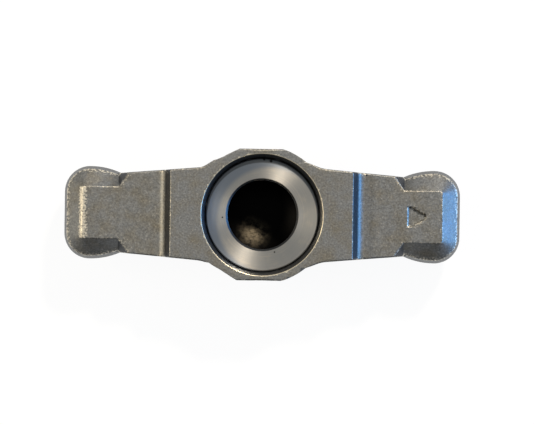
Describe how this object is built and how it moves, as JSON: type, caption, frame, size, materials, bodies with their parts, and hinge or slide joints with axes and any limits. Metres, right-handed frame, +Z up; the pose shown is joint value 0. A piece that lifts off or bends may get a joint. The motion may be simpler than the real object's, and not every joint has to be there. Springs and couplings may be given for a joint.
{
  "type": "valve bridge",
  "caption": "Forged valve bridge that opens two engine valves at once, with a pressed turned cup for the rocker's foot.",
  "frame": {"origin": "centre of the flat face under the middle boss, on the socket's axis", "axes": "+X along the beam towards the pad with the triangle, +Z up out of the socket"},
  "size_m": [0.0632, 0.0208, 0.015],
  "materials": {
    "forged_steel": "drop forged, shot blasted and tumbled",
    "turned_steel": "fine turned face, hardened"
  },
  "bodies": {
    "root": {"bridge_body": "forged_steel", "socket_cup": "turned_steel"}
  },
  "joints": []
}
